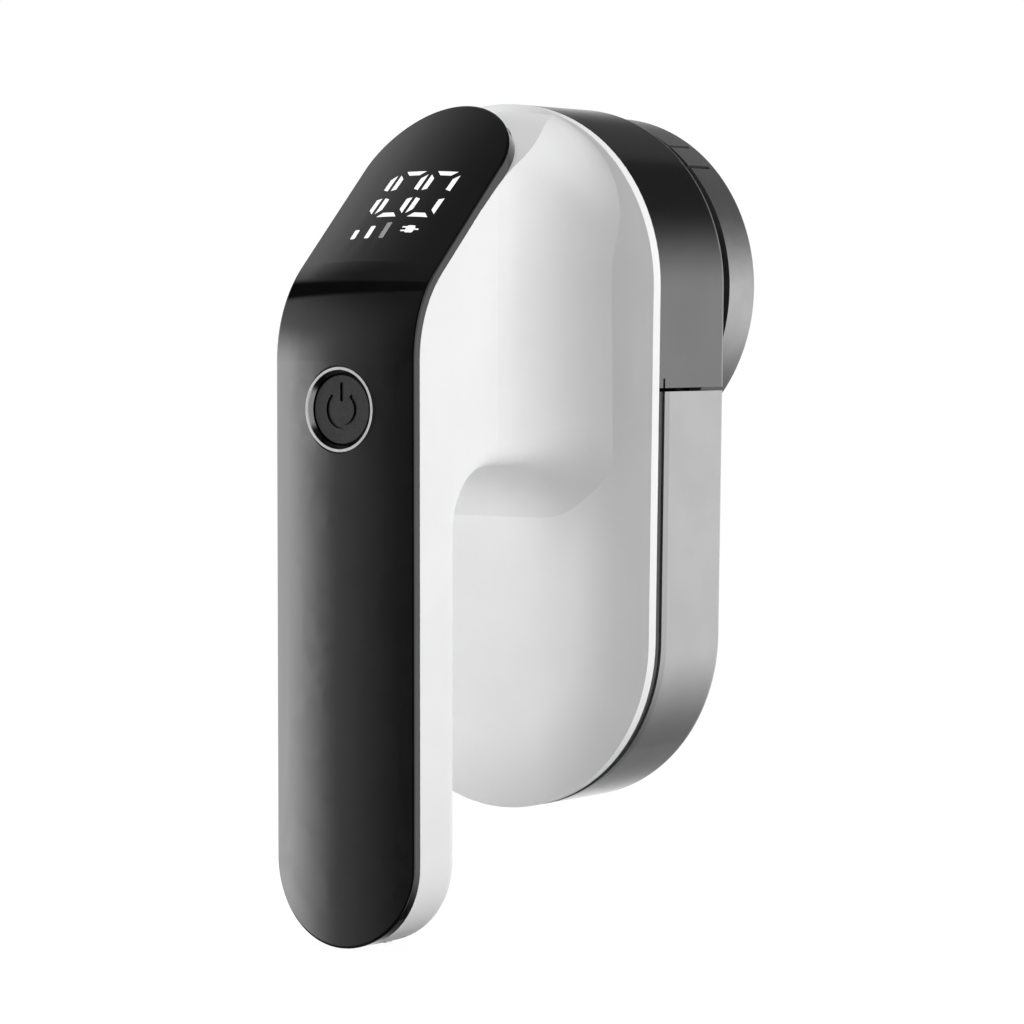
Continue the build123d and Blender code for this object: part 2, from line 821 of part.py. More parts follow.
with BuildPart() as chassis_plate:
    extrude(head_outline(y_plate, inset=plate_inset), amount=plate_thickness)
    add(bin_rail.part)
    with BuildSketch(plane_at(y_plate, cutter_z)):
        Circle(motor_radius + sleeve_thickness)
    extrude(amount=plate_thickness, mode=Mode.SUBTRACT)
    extrude(four_posts(y_plate, clear_radius), amount=plate_thickness, mode=Mode.SUBTRACT)
    extrude(four_posts(y_plate, sink_radius), amount=screw_head_height + screw_hole_gap, mode=Mode.SUBTRACT)

with BuildPart() as motor_sleeve:
    with BuildSketch(plane_at(y_plate - sleeve_overhang, cutter_z)):
        Circle(motor_radius + sleeve_thickness)
        Circle(motor_radius, mode=Mode.SUBTRACT)
    extrude(amount=plate_thickness + 2 * sleeve_overhang)

with BuildPart() as shaft_seal:
    with BuildSketch(plane_at(y_bulkhead, cutter_z)):
        Circle(rear_bore)
        Circle(shaft_radius + running_gap, mode=Mode.SUBTRACT)
    extrude(amount=bulkhead_thickness)

with BuildPart() as motor_screws:
    with BuildSketch(plane_at(y_chamber, cutter_z)):
        with GridLocations(motor_screw_pitch, 0, 2, 1):
            Circle(screw_head_radius)
    extrude(amount=screw_head_height)
    with BuildSketch(plane_at(y_chamber, cutter_z)):
        with GridLocations(motor_screw_pitch, 0, 2, 1):
            Circle(pilot_radius)
    extrude(amount=screw_hole_gap - bulkhead_thickness - screw_bite)

# ---------------------------------------------------------------- rear housing with the cutter drum
y_spigot = y_ring + spigot_length
y_lug = y_ring + lug_place


def ring_sector(inner, outer, centre_angle, span):
    """Arc-shaped lug outline in the current sketch plane; angles run from +X towards +Z."""
    with BuildSketch(Plane.XZ) as sector:
        with BuildLine():
            arc_out = CenterArc((0, 0), outer, centre_angle - span / 2, span)
            arc_in = CenterArc((0, 0), inner, centre_angle - span / 2, span)
            Line(arc_out @ 0, arc_in @ 0)
            Line(arc_out @ 1, arc_in @ 1)
        make_face()
    return sector.sketch


def lugs(inner, outer, y, thickness, span):
    """Bayonet lugs about the cutter axis, one behind each spring tab."""
    with BuildPart() as lug_set:
        for index in range(tab_count):
            angle = tab_angle + 360 / tab_count * index
            sector = ring_sector(inner, outer, angle, span).moved(Location((0, y, cutter_z)))
            extrude(sector, amount=thickness, dir=(0, 1, 0))
    return lug_set.part


housing_cut = Plane.XY.offset(seam_height)
floor_depth = band_depth - band_edge_radius + plate_rebate - plate_thickness

with BuildPart() as rear_housing:
    extrude(head_outline(y_split), amount=band_depth)
    fillet(rear_housing.faces().sort_by(Axis.Y)[-1].edges(), radius=band_edge_radius)
    extrude(head_outline(y_split, inset=band_wall), amount=band_depth - band_wall, mode=Mode.SUBTRACT)
    split(bisect_by=housing_cut, keep=Keep.TOP)
    with BuildSketch(housing_cut):
        with Locations((0, y_plate_back + floor_depth / 2)):
            Rectangle(2 * (head_radius - running_gap), floor_depth)
    extrude(amount=band_wall)
    with BuildSketch(plane_at(y_plate_back, cutter_z)):
        Circle(drum_radius)
    extrude(amount=y_ring - y_plate_back)
    with BuildSketch(plane_at(y_ring, cutter_z)):
        Circle(spigot_radius)
    extrude(amount=y_spigot - y_ring)
    with BuildSketch(plane_at(y_split, cutter_z)):
        Circle(drum_inner)
    extrude(amount=y_spigot - y_split, mode=Mode.SUBTRACT)
    with BuildSketch(plane_at(y_bulkhead, cutter_z)):
        Circle(drum_radius)
    extrude(amount=bulkhead_thickness)
    with BuildSketch(plane_at(y_bulkhead, cutter_z)):
        Circle(rear_bore)
        with GridLocations(motor_screw_pitch, 0, 2, 1):
            Circle(clear_radius)
    extrude(amount=bulkhead_thickness, mode=Mode.SUBTRACT)
    add(
        lugs(
            spigot_radius - lug_root,
            ring_inner - lug_clearance,
            y_lug + lug_thickness + lug_gap,
            lug_thickness,
            lug_span,
        )
    )
    with BuildSketch(Plane.XY.offset(cutter_z - head_radius)):
        with Locations((0, (y_chamber + y_band_back - band_wall) / 2)):
            Rectangle(chute_width, y_band_back - band_wall - y_chamber)
    extrude(amount=head_radius - drum_inner / 2, mode=Mode.SUBTRACT)
    extrude(four_posts(y_plate_back, post_radius), amount=bulkhead_depth)
    extrude(four_posts(y_plate_back, pilot_radius), amount=bulkhead_depth - post_floor, mode=Mode.SUBTRACT)

with BuildPart() as housing_screws:
    extrude(four_posts(y_screw_head, screw_head_radius), amount=screw_head_height)
    extrude(four_posts(y_screw_head, pilot_radius), amount=plate_thickness + bulkhead_depth - 2 * post_floor)

# ---------------------------------------------------------------- lint bin
y_bin = y_plate_back + bin_gap
bin_depth = y_band_back - y_bin

with BuildPart() as lint_bin:
    extrude(head_outline(y_bin), amount=bin_depth)
    fillet(lint_bin.faces().sort_by(Axis.Y)[-1].edges(), radius=band_edge_radius)
    extrude(
        head_outline(y_bin + band_wall, inset=band_wall),
        amount=bin_depth - 2 * band_wall,
        mode=Mode.SUBTRACT,
    )
    split(bisect_by=Plane.XY.offset(seam_height - seam_gap), keep=Keep.BOTTOM)
    with BuildSketch(plane_at(y_bin, cutter_z)):
        Circle(drum_radius + drum_clearance)
    extrude(amount=band_depth, mode=Mode.SUBTRACT)

# ---------------------------------------------------------------- guard ring and foil
y_flange_face = y_rear - ring_face

with BuildPart() as guard_ring:
    with BuildSketch(turning_plane):
        with BuildLine():
            FilletPolyline(
                (y_ring, ring_inner),
                (y_ring, ring_radius),
                (y_rear, ring_radius),
                (y_rear, ring_mouth_radius),
                (y_flange_face, ring_mouth_radius),
                (y_flange_face, ring_inner),
                radius=[0, 0, ring_edge_radius, ring_edge_radius, 0, 0],
                close=True,
            )
        make_face()
    revolve(axis=cutter_axis)
    add(lugs(spigot_radius + lug_gap, ring_inner + lug_root, y_lug, lug_thickness, lug_span))
    for tab in range(tab_count):
        for side in (-1, 1):
            angle = tab_angle + 360 / tab_count * tab + side * tab_span / 2
            with BuildSketch(Plane.XZ.offset(-y_ring)):
                with Locations((0, cutter_z)):
                    with PolarLocations(ring_radius, 1, start_angle=angle):
                        Rectangle(2 * ring_wall, slit_width)
            extrude(amount=-slit_depth, mode=Mode.SUBTRACT)

foil_back = y_flange_face - foil_thickness
dome_radius = (foil_mouth**2 + foil_dome**2) / (2 * foil_dome)

with BuildPart() as foil:
    with BuildSketch(turning_plane):
        with BuildLine():
            RadiusArc((y_flange_face + foil_dome, 0), (y_flange_face, foil_mouth), -dome_radius)
            Polyline(
                (y_flange_face, foil_mouth),
                (y_flange_face, foil_radius),
                (foil_back, foil_radius),
                (foil_back, foil_mouth),
            )
            RadiusArc((foil_back, foil_mouth), (foil_back + foil_dome, 0), dome_radius)
            Line((foil_back + foil_dome, 0), (y_flange_face + foil_dome, 0))
        make_face()
    revolve(axis=cutter_axis)
    hole_rows = 2 * int(foil_mouth / foil_pitch) + 1
    hole_reach = foil_mouth - foil_hole / sqrt(3)
    hole_grid = HexLocations(foil_pitch / 2, 2 * hole_rows, hole_rows)
    hole_spots = [spot for spot in hole_grid.local_locations if spot.position.length < hole_reach]
    with BuildSketch(plane_at(foil_back, cutter_z)):
        with Locations(*hole_spots):
            RegularPolygon(foil_hole / 2, 6, major_radius=False)
    extrude(amount=foil_dome + foil_thickness, mode=Mode.SUBTRACT)

with BuildPart() as foil_frame:
    with BuildSketch(turning_plane):
        with Locations((foil_back - foil_clamp / 2, (foil_mouth + ring_inner) / 2)):
            Rectangle(foil_clamp, ring_inner - foil_mouth - 2 * foil_clamp_gap)
    revolve(axis=cutter_axis)

# ---------------------------------------------------------------- rotor: shaft, impeller, hub and blades
y_blade_base = foil_back - blade_gap - blade_rise
y_blade_top = y_blade_base + blade_thickness
y_shaft_end = y_blade_base + shaft_stub
y_shaft_start = motor_front - bush_length - shaft_stub
y_hub = y_chamber + screw_head_height + impeller_gap
hub_tip = hub_radius - hub_taper
vane_reach = vane_radius - hub_radius

with BuildPart() as motor_shaft:
    with BuildSketch(plane_at(y_shaft_start, cutter_z)):
        Circle(shaft_radius)
    extrude(amount=y_shaft_end - y_shaft_start)

with BuildPart() as impeller:
    with BuildSketch(plane_at(y_hub, cutter_z)):
        Circle(vane_radius)
        Circle(hub_radius, mode=Mode.SUBTRACT)
    extrude(amount=impeller_disc)
    with BuildSketch(plane_at(y_hub + impeller_disc, cutter_z)):
        with PolarLocations(hub_radius + vane_reach / 2, vane_count):
            SlotOverall(vane_reach - vane_thickness / 2, vane_thickness, rotation=vane_lean)
    extrude(amount=vane_height)
    with BuildSketch(plane_at(y_hub, cutter_z)):
        Circle(hub_radius + impeller_collar)
        Circle(hub_radius, mode=Mode.SUBTRACT)
    extrude(amount=vane_height + impeller_disc)

with BuildPart() as blade_hub:
    with BuildSketch(turning_plane):
        with BuildLine():
            Polyline(
                (y_hub, shaft_radius),
                (y_hub, hub_radius),
                (y_hub + vane_height + impeller_disc, hub_radius),
                (y_blade_base, hub_tip),
                (y_blade_base, shaft_radius),
                close=True,
            )
        make_face()
    revolve(axis=cutter_axis)

# The leaves are trimmed to a band that follows the foil's dome at an even gap.
y_tip_plane = foil_back - blade_gap

with BuildPart() as blade_band:
    with BuildSketch(turning_plane):
        with BuildLine():
            top = RadiusArc((y_tip_plane, blade_radius), (y_tip_plane + foil_dome, 0), dome_radius)
            Polyline(top @ 1, (y_blade_base, 0), (y_blade_base, blade_radius), top @ 0)
        make_face()
    revolve(axis=cutter_axis)

with BuildPart() as blades:
    for index in range(blade_count):
        turn = radians(360 / blade_count * index)
        leaf_plane = Plane(cutter_axis.position, x_dir=(cos(turn), 0, sin(turn)), z_dir=(0, 1, 0))
        leaf_plane = leaf_plane.offset(y_blade_base + blade_rise / 2).rotated((blade_lean, 0, 0))
        with BuildSketch(leaf_plane):
            with Locations((blade_radius / 2, 0)):
                Rectangle(blade_radius, blade_width)
        extrude(amount=blade_thickness / 2, both=True)
    add(blade_band.part, mode=Mode.INTERSECT)
    with BuildSketch(plane_at(y_blade_base, cutter_z)):
        Circle(hub_tip)
    extrude(amount=blade_thickness)
    with BuildSketch(plane_at(y_blade_top, cutter_z)):
        Circle(nut_radius + lug_gap)
    extrude(amount=blade_rise + foil_dome, mode=Mode.SUBTRACT)
    with BuildSketch(plane_at(y_blade_base, cutter_z)):
        Circle(shaft_radius + running_gap)
    extrude(amount=blade_thickness, mode=Mode.SUBTRACT)

with BuildPart() as blade_nut:
    with BuildSketch(plane_at(y_blade_top, cutter_z)):
        RegularPolygon(nut_radius, 6)
    extrude(amount=nut_height)
    with BuildSketch(plane_at(y_blade_top, cutter_z)):
        Circle(shaft_radius)
    extrude(amount=y_shaft_end - y_blade_top, mode=Mode.SUBTRACT)

# ---------------------------------------------------------------- export
pieces = {
    "body_shell": body_shell,
    "front_panel": front_panel,
    "display_segments": display_segments,
    "display_diffuser": display_diffuser,
    "display_board": display_board,
    "button_bezel": button_bezel,
    "power_button": power_button,
    "switch_plunger": switch_plunger,
    "tact_switch": tact_switch,
    "main_board": main_board,
    "board_screws": board_screws,
    "battery_cell": battery_cell,
    "battery_pad": battery_pad,
    "charge_socket": charge_socket,
    "charge_board": charge_board,
    "motor_can": motor_can,
    "motor_sleeve": motor_sleeve,
    "motor_end_cap": motor_end_cap,
    "motor_terminals": motor_terminals,
    "front_bushing": front_bushing,
    "rear_bushing": rear_bushing,
    "motor_screws": motor_screws,
    "motor_shaft": motor_shaft,
    "motor_leads": motor_leads,
    "battery_leads": battery_leads,
    "display_leads": display_leads,
    "chassis_plate": chassis_plate,
    "shaft_seal": shaft_seal,
    "housing_screws": housing_screws,
    "rear_housing": rear_housing,
    "lint_bin": lint_bin,
    "guard_ring": guard_ring,
    "foil_frame": foil_frame,
    "foil": foil,
    "impeller": impeller,
    "blade_hub": blade_hub,
    "blades": blades,
    "blade_nut": blade_nut,
}

os.makedirs("parts", exist_ok=True)
for name, piece in pieces.items():
    piece.part.label = name
    export_step(piece.part, f"parts/{name}.step")
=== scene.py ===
"""Studio scene of the fabric shaver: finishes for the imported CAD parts, light and camera.

Lengths are metres in the part's own frame: +X to the side, +Y from panel to cutter, +Z up.
"""
import math

import bpy
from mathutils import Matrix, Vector


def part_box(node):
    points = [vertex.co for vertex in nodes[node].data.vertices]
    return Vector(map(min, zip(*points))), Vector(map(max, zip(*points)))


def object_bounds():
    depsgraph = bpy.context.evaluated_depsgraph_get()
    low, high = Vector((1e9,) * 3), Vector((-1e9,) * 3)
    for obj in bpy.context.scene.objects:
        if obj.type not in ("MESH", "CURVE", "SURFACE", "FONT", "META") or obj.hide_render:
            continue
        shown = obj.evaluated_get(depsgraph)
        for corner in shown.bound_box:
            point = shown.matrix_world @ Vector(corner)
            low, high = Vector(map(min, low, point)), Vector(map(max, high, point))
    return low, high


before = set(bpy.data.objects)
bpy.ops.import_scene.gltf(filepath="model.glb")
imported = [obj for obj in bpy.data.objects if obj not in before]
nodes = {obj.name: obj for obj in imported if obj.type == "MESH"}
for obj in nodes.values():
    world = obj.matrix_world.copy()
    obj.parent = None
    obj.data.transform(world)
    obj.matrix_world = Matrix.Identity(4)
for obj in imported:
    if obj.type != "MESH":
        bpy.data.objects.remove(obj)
cad_low, cad_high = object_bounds()

MM = 0.001


# ---------------------------------------------------------------- node helpers
def link(tree, source, target):
    tree.links.new(source, target)


def math_node(tree, operation, first, second=None):
    """Math node whose inputs are sockets or numbers; returns its output."""
    node = tree.nodes.new("ShaderNodeMath")
    node.operation = operation
    for socket, value in zip(node.inputs, (first, second)):
        if value is None:
            continue
        if isinstance(value, (int, float)):
            socket.default_value = value
        else:
            link(tree, value, socket)
    return node.outputs[0]


def ramp_between(tree, value, start, end, low=0.0, high=1.0):
    """Smooth step from low to high as value goes from start to end."""
    node = tree.nodes.new("ShaderNodeMapRange")
    node.interpolation_type = "SMOOTHSTEP"
    if start > end:
        start, end, low, high = end, start, high, low
    for name, number in (("From Min", start), ("From Max", end), ("To Min", low), ("To Max", high)):
        node.inputs[name].default_value = number
    link(tree, value, node.inputs["Value"])
    return node.outputs[0]


def band(tree, value, start, full, full_to, end):
    """1 from full to full_to, 0 before start and past end, with smooth steps between."""
    rising = ramp_between(tree, value, start, full)
    falling = ramp_between(tree, value, end, full_to)
    return math_node(tree, "MULTIPLY", rising, falling)


def object_point(tree, stretch=(1, 1, 1)):
    """Object coordinates, stretched along the axes for grain that runs one way."""
    coordinates = tree.nodes.new("ShaderNodeTexCoord")
    mapping = tree.nodes.new("ShaderNodeMapping")
    mapping.inputs["Scale"].default_value = stretch
    link(tree, coordinates.outputs["Object"], mapping.inputs["Vector"])
    return mapping.outputs[0]


def object_axes(tree):
    """Object coordinates as three sockets, x, y and z."""
    split = tree.nodes.new("ShaderNodeSeparateXYZ")
    link(tree, object_point(tree), split.inputs[0])
    return split.outputs


def noise(tree, scale, detail=3.0, stretch=(1, 1, 1)):
    """Fractal noise of about 1/scale metres."""
    node = tree.nodes.new("ShaderNodeTexNoise")
    node.inputs["Scale"].default_value = scale
    node.inputs["Detail"].default_value = detail
    link(tree, object_point(tree, stretch), node.inputs["Vector"])
    return node.outputs[0]


def blend_colours(tree, factor, first, second):
    """Mix of two colours, each a tuple or a socket; returns its output."""
    node = tree.nodes.new("ShaderNodeMix")
    node.data_type = "RGBA"
    for index, colour in ((6, first), (7, second)):
        if isinstance(colour, tuple):
            node.inputs[index].default_value = (*colour, 1.0)
        else:
            link(tree, colour, node.inputs[index])
    link(tree, factor, node.inputs[0])
    return node.outputs[2]


def mix_shaders(tree, factor, first, second):
    """First shader where factor is 0, second where it is 1; returns the output."""
    node = tree.nodes.new("ShaderNodeMixShader")
    for socket, source in zip(node.inputs, (factor, first, second)):
        link(tree, source, socket)
    return node.outputs[0]


def ray_kinds(tree):
    """Two sockets: 1 on camera and transmission rays, and 1 on glossy rays."""
    path = tree.nodes.new("ShaderNodeLightPath").outputs
    seen = math_node(tree, "MAXIMUM", path["Is Camera Ray"], path["Is Transmission Ray"])
    return seen, path["Is Glossy Ray"]


def grey(level):
    return (level, level, level)


def new_surface(name, **settings):
    """Material with one Principled shader whose constant sockets are set from settings."""
    material = bpy.data.materials.new(name)
    material.use_nodes = True
    shader = material.node_tree.nodes["Principled BSDF"]
    for socket, value in settings.items():
        target = shader.inputs[socket.replace("_", " ")]
        target.default_value = (*value, 1.0) if isinstance(value, tuple) else value
    return material, material.node_tree, shader


def mottle(tree, first, second, scale, stretch=(1, 1, 1)):
    """Colour that wanders between two close tones."""
    factor = ramp_between(tree, noise(tree, scale, 4.0, stretch), 0.35, 0.65)
    return blend_colours(tree, factor, first, second)


def add_mottle(tree, shader, first, second, scale, stretch=(1, 1, 1)):
    """Mottled base colour."""
    link(tree, mottle(tree, first, second, scale, stretch), shader.inputs["Base Color"])


def add_roughness(tree, shader, low, high, scale, stretch=(1, 1, 1)):
    """Roughness that wanders between two values."""
    value = ramp_between(tree, noise(tree, scale, 4.0, stretch), 0.3, 0.7, low, high)
    link(tree, value, shader.inputs["Roughness"])


def add_grain(tree, shader, scale, height, strength=0.3, stretch=(1, 1, 1)):
    """Fine surface relief of the given height in metres."""
    bump = tree.nodes.new("ShaderNodeBump")
    bump.inputs["Strength"].default_value = strength
    bump.inputs["Distance"].default_value = height
    link(tree, noise(tree, scale, 2.0, stretch), bump.inputs["Height"])
    link(tree, bump.outputs[0], shader.inputs["Normal"])


# ---------------------------------------------------------------- finishes
# Tallest level bar of the display, the third of the lower row. Only that row reaches in front
# of LOWER_ROW_Y.
DIM_BAR_X = (-1.4 * MM, 2.0 * MM)
LOWER_ROW_Y = -28.5 * MM
DIM_BAR_SOFT = 0.2 * MM

BEZEL_SHADE_TO_RIM = (0.88, 0.92)        # share of the bezel's radius where the painted shade of its inner slope starts to fade, and where its bright rim is full

BIN_SHADE_BAND = 1.5 * MM             # depth of the painted shade band at the front and rear faces of the bin
BIN_SHADE_BAND_SOFT = 0.4 * MM


def white_plastic():
    material, tree, shader = new_surface(
        "white_satin_plastic", Coat_Weight=0.15, Coat_Roughness=0.3
    )
    add_mottle(tree, shader, (0.84, 0.84, 0.845), (0.86, 0.86, 0.865), 60)
    add_roughness(tree, shader, 0.44, 0.52, 220)
    add_grain(tree, shader, 2600, 0.02 * MM, 0.12)
    return material


def gloss_black():
    material, tree, shader = new_surface(
        "gloss_black_panel", IOR=1.5, Coat_Weight=0.6, Coat_IOR=1.5, Coat_Roughness=0.03
    )
    add_mottle(tree, shader, grey(0.004), grey(0.006), 90)
    add_roughness(tree, shader, 0.04, 0.07, 140)
    return material


def display_glow():
    """Lit figures; the tallest level bar is off and stays dim."""
    material, tree, shader = new_surface("display_glow", Base_Color=grey(0.2), Roughness=0.4)
    glow = blend_colours(tree, noise(tree, 900, 2.0), grey(0.93), grey(1.0))
    x, y, _ = object_axes(tree)
    low, high = DIM_BAR_X
    lower_row = ramp_between(tree, y, LOWER_ROW_Y + DIM_BAR_SOFT, LOWER_ROW_Y)
    third = band(tree, x, low - DIM_BAR_SOFT, low, high, high + DIM_BAR_SOFT)
    glow = blend_colours(tree, math_node(tree, "MULTIPLY", lower_row, third), glow, grey(0.12))
    link(tree, glow, shader.inputs["Emission Color"])
    shader.inputs["Emission Strength"].default_value = 0.95
    return material


def chrome():
    """Bright rim of the bezel; its inner slope carries painted shade, a darker colour of the same
    chrome.
    """
    material, tree, shader = new_surface("bezel_chrome", Metallic=1.0)
    low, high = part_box("button_bezel")
    centre, radius = (low + high) / 2, (high.x - low.x) / 2
    x, _, z = object_axes(tree)
    across = math_node(tree, "POWER", math_node(tree, "SUBTRACT", x, centre.x), 2.0)
    along = math_node(tree, "POWER", math_node(tree, "SUBTRACT", z, centre.z), 2.0)
    distance = math_node(tree, "SQRT", math_node(tree, "ADD", across, along))
    shade_fade_start, shade_gone = BEZEL_SHADE_TO_RIM
    unshaded_rim = ramp_between(tree, distance, radius * shade_fade_start, radius * shade_gone)
    bright = mottle(tree, grey(0.74), grey(0.8), 700)
    # Painted shade: grey 0.28 on the inner slope, the chrome's bright tone on the rim.
    link(tree, blend_colours(tree, unshaded_rim, grey(0.28), bright), shader.inputs["Base Color"])
    add_roughness(tree, shader, 0.12, 0.2, 900)
    return material


def satin_black(name="satin_black_plastic", level=0.012, low=0.32, high=0.42):
    material, tree, shader = new_surface(name)
    add_mottle(tree, shader, grey(level), grey(level * 1.15), 300)
    add_roughness(tree, shader, low, high, 500)
    add_grain(tree, shader, 5200, 0.03 * MM, 0.25)
    return material


def smoked_plastic():
    """Smoked plastic of the lint bin, with painted shade: darker bands at its front and rear faces
    stand in for walls seen edge on.
    """
    material, tree, shader = new_surface(
        "smoked_bin", IOR=1.49, Transmission_Weight=0.15, Metallic=0.7, Coat_Weight=0.4
    )
    low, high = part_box("lint_bin")
    _, y, _ = object_axes(tree)
    front, rear = low.y + BIN_SHADE_BAND, high.y - BIN_SHADE_BAND
    painted_front_shade = ramp_between(tree, y, front + BIN_SHADE_BAND_SOFT, front)
    painted_rear_shade = ramp_between(tree, y, rear - BIN_SHADE_BAND_SOFT, rear)
    painted_edge_shade = math_node(tree, "MAXIMUM", painted_front_shade, painted_rear_shade)
    clear = mottle(tree, grey(0.47), grey(0.5), 80)
    # Painted shade: grey 0.4 in the bands at the front and rear faces.
    link(tree, blend_colours(tree, painted_edge_shade, clear, grey(0.4)), shader.inputs["Base Color"])
    add_roughness(tree, shader, 0.16, 0.22, 260)
    return material


def graphite_plastic():
    """Dark satin lacquer of the rear housing."""
    material, tree, shader = new_surface(
        "graphite_housing", Metallic=0.95, Coat_Weight=0.3, Coat_Roughness=0.12
    )
    add_mottle(tree, shader, grey(0.17), grey(0.18), 80)
    add_roughness(tree, shader, 0.16, 0.2, 260)
    add_grain(tree, shader, 5200, 0.01 * MM, 0.1)
    return material


def grey_metal():
    material, tree, shader = new_surface("ring_gunmetal", Metallic=0.85)
    add_mottle(tree, shader, grey(0.42), grey(0.45), 160)
    add_roughness(tree, shader, 0.2, 0.24, 1200, (0.1, 1, 0.1))
    add_grain(tree, shader, 6000, 0.01 * MM, 0.08, (0.1, 1, 0.1))
    return material


def steel(name, tone, low, high, stretch=(1, 1, 1)):
    material, tree, shader = new_surface(name, Metallic=1.0)
    add_mottle(tree, shader, grey(tone * 0.92), grey(tone), 400, stretch)
    add_roughness(tree, shader, low, high, 1500, stretch)
    add_grain(tree, shader, 3500, 0.01 * MM, 0.2, stretch)
    return material


def moulded(name, dark, light, low=0.4, high=0.5):
    material, tree, shader = new_surface(name)
    add_mottle(tree, shader, dark, light, 250)
    add_roughness(tree, shader, low, high, 400)
    add_grain(tree, shader, 4000, 0.03 * MM, 0.2)
    return material


def circuit_board():
    """Green solder mask with copper runs showing through it and a few plated pads."""
    material, tree, shader = new_surface("circuit_board", Roughness=0.35)
    runs = tree.nodes.new("ShaderNodeTexBrick")
    sizes = {"Scale": 260, "Mortar Size": 0.03, "Brick Width": 0.9, "Row Height": 0.3}
    for socket, value in sizes.items():
        runs.inputs[socket].default_value = value
    runs.inputs["Color1"].default_value = (0.012, 0.09, 0.035, 1)
    runs.inputs["Color2"].default_value = (0.014, 0.11, 0.04, 1)
    runs.inputs["Mortar"].default_value = (0.05, 0.2, 0.08, 1)
    link(tree, object_point(tree), runs.inputs["Vector"])
    pads = tree.nodes.new("ShaderNodeTexVoronoi")
    pads.inputs["Scale"].default_value = 330
    link(tree, object_point(tree), pads.inputs["Vector"])
    spots = ramp_between(tree, pads.outputs["Distance"], 0.16, 0.13)
    mixed = blend_colours(tree, spots, runs.outputs["Color"], (0.75, 0.72, 0.66))
    link(tree, mixed, shader.inputs["Base Color"])
    link(tree, spots, shader.inputs["Metallic"])
    return material


def battery_wrap():
    """Blue shrink sleeve."""
    material, tree, shader = new_surface("battery_wrap", Coat_Weight=0.3)
    add_mottle(tree, shader, (0.02, 0.06, 0.2), (0.03, 0.08, 0.26), 120)
    add_roughness(tree, shader, 0.3, 0.45, 300)
    add_grain(tree, shader, 900, 0.05 * MM, 0.3, (1, 1, 0.2))
    return material


finishes = {
    "white": white_plastic(),
    "panel": gloss_black(),
    "glow": display_glow(),
    "chrome": chrome(),
    "cap": satin_black("button_black", 0.01, 0.25, 0.34),
    "plate": satin_black("chassis_black", 0.05, 0.35, 0.45),
    "smoke_bin": smoked_plastic(),
    "graphite": graphite_plastic(),
    "ring": grey_metal(),
    "foil": steel("foil_steel", 0.75, 0.18, 0.3),
    "steel": steel("bright_steel", 0.7, 0.16, 0.28),
    "can": steel("motor_can_steel", 0.62, 0.25, 0.36, (1, 0.15, 1)),
    "bronze": moulded("sintered_bronze", (0.42, 0.26, 0.1), (0.5, 0.32, 0.13)),
    "impeller": moulded("impeller_grey", grey(0.16), grey(0.19)),
    "diffuser": moulded("display_diffuser", grey(0.7), grey(0.78)),
    "foam": moulded("foam_pad", grey(0.05), grey(0.08), 0.8, 0.95),
    "rubber": satin_black("seal_rubber", 0.02, 0.6, 0.75),
    "board": circuit_board(),
    "battery": battery_wrap(),
    "switch": moulded("switch_body", grey(0.02), grey(0.03)),
    "red_lead": moulded("red_lead", (0.4, 0.02, 0.02), (0.5, 0.03, 0.03)),
    "pale_lead": moulded("pale_lead", grey(0.5), grey(0.6)),
    "plunger": moulded("switch_plunger", (0.5, 0.48, 0.42), (0.55, 0.53, 0.47)),
}

finish_of_node = {
    "body_shell": "white",
    "front_panel": "panel",
    "display_segments": "glow",
    "display_diffuser": "diffuser",
    "display_board": "board",
    "main_board": "board",
    "charge_board": "board",
    "button_bezel": "chrome",
    "power_button": "cap",
    "tact_switch": "switch",
    "switch_plunger": "plunger",
    "board_screws": "steel",
    "housing_screws": "steel",
    "motor_screws": "steel",
    "battery_cell": "battery",
    "battery_pad": "foam",
    "charge_socket": "steel",
    "motor_can": "can",
    "motor_end_cap": "switch",
    "front_bushing": "bronze",
    "rear_bushing": "bronze",
    "motor_sleeve": "rubber",
    "shaft_seal": "rubber",
    "chassis_plate": "plate",
    "rear_housing": "graphite",
    "lint_bin": "smoke_bin",
    "guard_ring": "ring",
    "foil_frame": "plate",
    "foil": "foil",
    "blades": "steel",
    "blade_nut": "steel",
    "blade_hub": "impeller",
    "impeller": "impeller",
    "motor_shaft": "steel",
    "motor_terminals": "bronze",
    "motor_leads": "red_lead",
    "battery_leads": "red_lead",
    "display_leads": "pale_lead",
}


def dress_cad_nodes():
    for name, finish in finish_of_node.items():
        materials = nodes[name].data.materials
        materials.clear()
        materials.append(finishes[finish])


# ---------------------------------------------------------------- studio
# Directions are degrees: azimuth 0 is the front, + towards +X; elevation 0 is level.
WORLD_FILL = 0.02               # level between the soft lights

# Soft lights in the world: level, azimuth range, elevation range. Each range is where the light
# starts, is full, is full to, and ends.
LIGHTS = [
    (0.07, (-181, -180, -25, -8), (-91, -90, 80, 90)),       # soft fill, left half
    (3.3, (-92, -74, -64, -38), (-24, -12, -6, 21)),         # left
    (1.0, (-120, -90, -66, -12), (-24, -12, 5, 50)),         # left, wide
    (0.42, (-170, -125, -112, -75), (30, 36, 38, 75)),       # left, high
    (1.0, (100, 120, 180, 181), (-38, -8, -3, 26)),          # backdrop, right of the middle
    (1.0, (-181, -180, -150, -120), (-38, -8, -3, 26)),      # backdrop, left of the middle
    (1.0, (60, 85, 100, 120), (-60, -40, 30, 50)),           # right
]

# Narrow black strip that leans across the left light and gives the panel's bend its dark line.
STRIP_LEAN = 0.5                # degrees of elevation per degree of azimuth
STRIP_BAND = (70, 82)           # elevation less the lean
STRIP_REACH = (-96, -20)        # azimuth
STRIP_SOFT = 2                  # half the width of its soft edges

